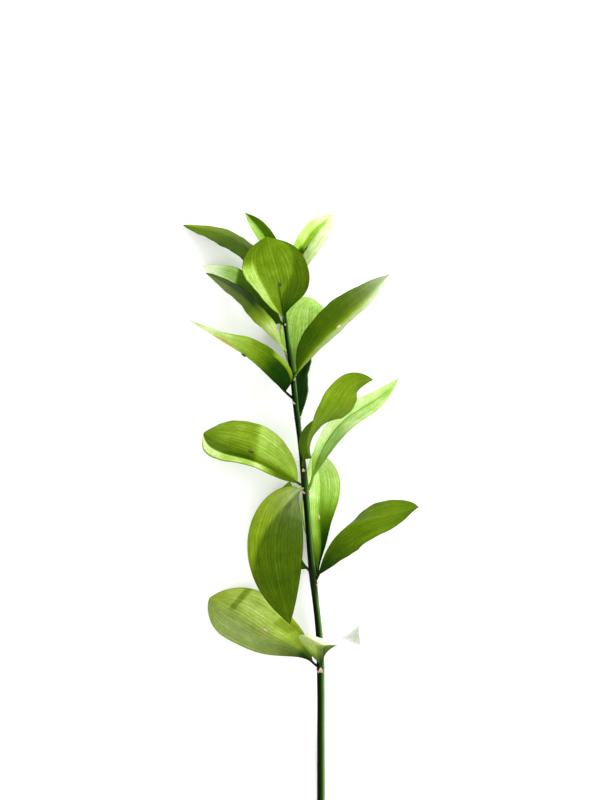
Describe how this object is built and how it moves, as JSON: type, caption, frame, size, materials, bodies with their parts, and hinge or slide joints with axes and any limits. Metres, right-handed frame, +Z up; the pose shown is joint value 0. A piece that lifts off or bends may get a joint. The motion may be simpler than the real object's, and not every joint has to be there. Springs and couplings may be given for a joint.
{
  "type": "ruscus stem",
  "caption": "Cut stem of ruscus lying down: a slender ridged green stem with pointed oval leaf-like cladodes on short twisted stalks, papery scales below them and small flower buds.",
  "frame": {"origin": "on the surface that the stem lies on, under the middle of the whole spray's box", "axes": "+Y along the stem from its cut end to its growing tip, +X to the right of the stem seen from above, +Z up from the surface"},
  "size_m": [0.1194, 0.3017, 0.0623],
  "materials": {
    "leaf": "satin green with fine parallel veins",
    "stem": "satin dark green, finely ridged, with brown papery scales"
  },
  "bodies": {
    "root": {"leaf_01": "leaf", "leaf_02": "leaf", "leaf_03": "leaf", "leaf_04": "leaf", "leaf_05": "leaf", "leaf_06": "leaf", "leaf_07": "leaf", "leaf_08": "leaf", "leaf_09": "leaf", "leaf_10": "leaf", "leaf_11": "leaf", "leaf_12": "leaf", "leaf_13": "leaf", "leaf_14": "leaf", "leaf_15": "leaf", "leaf_16": "leaf", "leaf_17": "leaf", "leaf_18": "leaf", "leaf_19": "leaf", "stem": "stem"}
  },
  "joints": []
}
